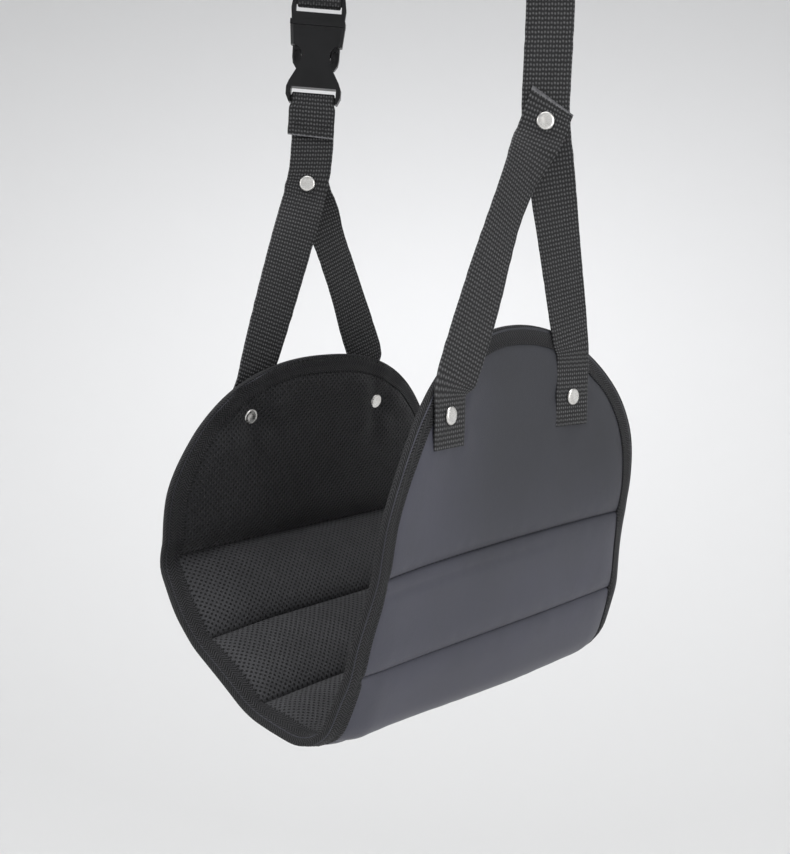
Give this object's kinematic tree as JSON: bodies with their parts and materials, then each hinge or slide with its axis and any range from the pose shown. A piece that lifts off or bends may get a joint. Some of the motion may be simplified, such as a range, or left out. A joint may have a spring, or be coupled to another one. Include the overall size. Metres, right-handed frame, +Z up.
{
  "type": "padded foot sling",
  "caption": "Quilted padded sling bent into a U and hung from a webbing loop by riveted V legs, with a side-release buckle and an adjuster in the loop.",
  "frame": {"origin": "middle of the underside of the strap loop's inner layer at the top, the face that rests on the support", "axes": "+Z up, +X across the U from the buckle side to the near side, -Y towards the front edge of the pad"},
  "size_m": [0.1795, 0.236, 0.4937],
  "materials": {
    "shell_fabric": "plain woven nylon with a slight sheen",
    "mesh_fabric": "perforated air mesh, matte",
    "foam": "soft foam inside the quilting",
    "thread": "matte sewing thread",
    "binding_tape": "herringbone twill tape",
    "webbing": "coarse woven webbing",
    "nickel": "bright nickel plate",
    "buckle_plastic": "satin moulded plastic"
  },
  "bodies": {
    "strap_loop": {"loop_inner_layer": "webbing", "loop_outer_layer": "webbing", "near_strap": "webbing", "near_strap_bend": "webbing", "far_strap_bend": "webbing", "buckle_strap": "webbing", "buckle_socket": "buckle_plastic", "slider_pass": "webbing", "far_run": "webbing"},
    "sling": {"outer_shell": "shell_fabric", "mesh_lining": "mesh_fabric", "pad_far_upper": "foam", "pad_far_middle": "foam", "pad_far_lower": "foam", "pad_bottom": "foam", "pad_near_lower": "foam", "pad_near_middle": "foam", "pad_near_upper": "foam", "quilting_seams": "thread", "edge_binding": "binding_tape", "near_front_leg": "webbing", "near_rear_leg": "webbing", "far_front_leg": "webbing", "far_rear_leg": "webbing", "panel_rivet_posts": "nickel", "panel_rivet_backs": "nickel", "apex_rivet_posts": "nickel", "apex_rivet_backs": "nickel"},
    "plug": {"buckle_plug": "buckle_plastic", "plug_web_turn": "webbing"},
    "left_prong": {"prong_left": "buckle_plastic"},
    "right_prong": {"prong_right": "buckle_plastic"},
    "adjuster": {"strap_slider": "buckle_plastic", "slider_web_loop": "webbing"}
  },
  "joints": [
    {"name": "sling_rock", "type": "hinge", "parent": "strap_loop", "child": "sling", "pos_m": [0.07035, 0.00531, -0.15675], "axis": [0.9759, 0.14, 0.1674], "range_deg": [-12, 12], "deforming": ["near_strap_bend", "far_strap_bend"]},
    {"name": "plug_release", "type": "slide", "parent": "strap_loop", "child": "plug", "axis": [0.0585, 0.0527, 0.9969], "range_m": [0, 0.028], "deforming": ["far_run", "prong_left", "prong_right"]},
    {"name": "prong_left_squeeze", "type": "hinge", "parent": "plug", "child": "left_prong", "pos_m": [-0.08704, -0.02034, -0.11265], "axis": [0.6691, -0.7431, 0], "range_deg": [0, 7], "stiffness_Nm_per_rad": 0.3},
    {"name": "prong_right_squeeze", "type": "hinge", "parent": "plug", "child": "right_prong", "pos_m": [-0.07074, -0.00567, -0.11438], "axis": [-0.6691, 0.7431, 0], "range_deg": [0, 7], "stiffness_Nm_per_rad": 0.3},
    {"name": "strap_adjust", "type": "slide", "parent": "strap_loop", "child": "adjuster", "axis": [0.0238, 0.0214, 0.9995], "range_m": [-0.01, 0.025], "deforming": ["slider_pass"]}
  ]
}
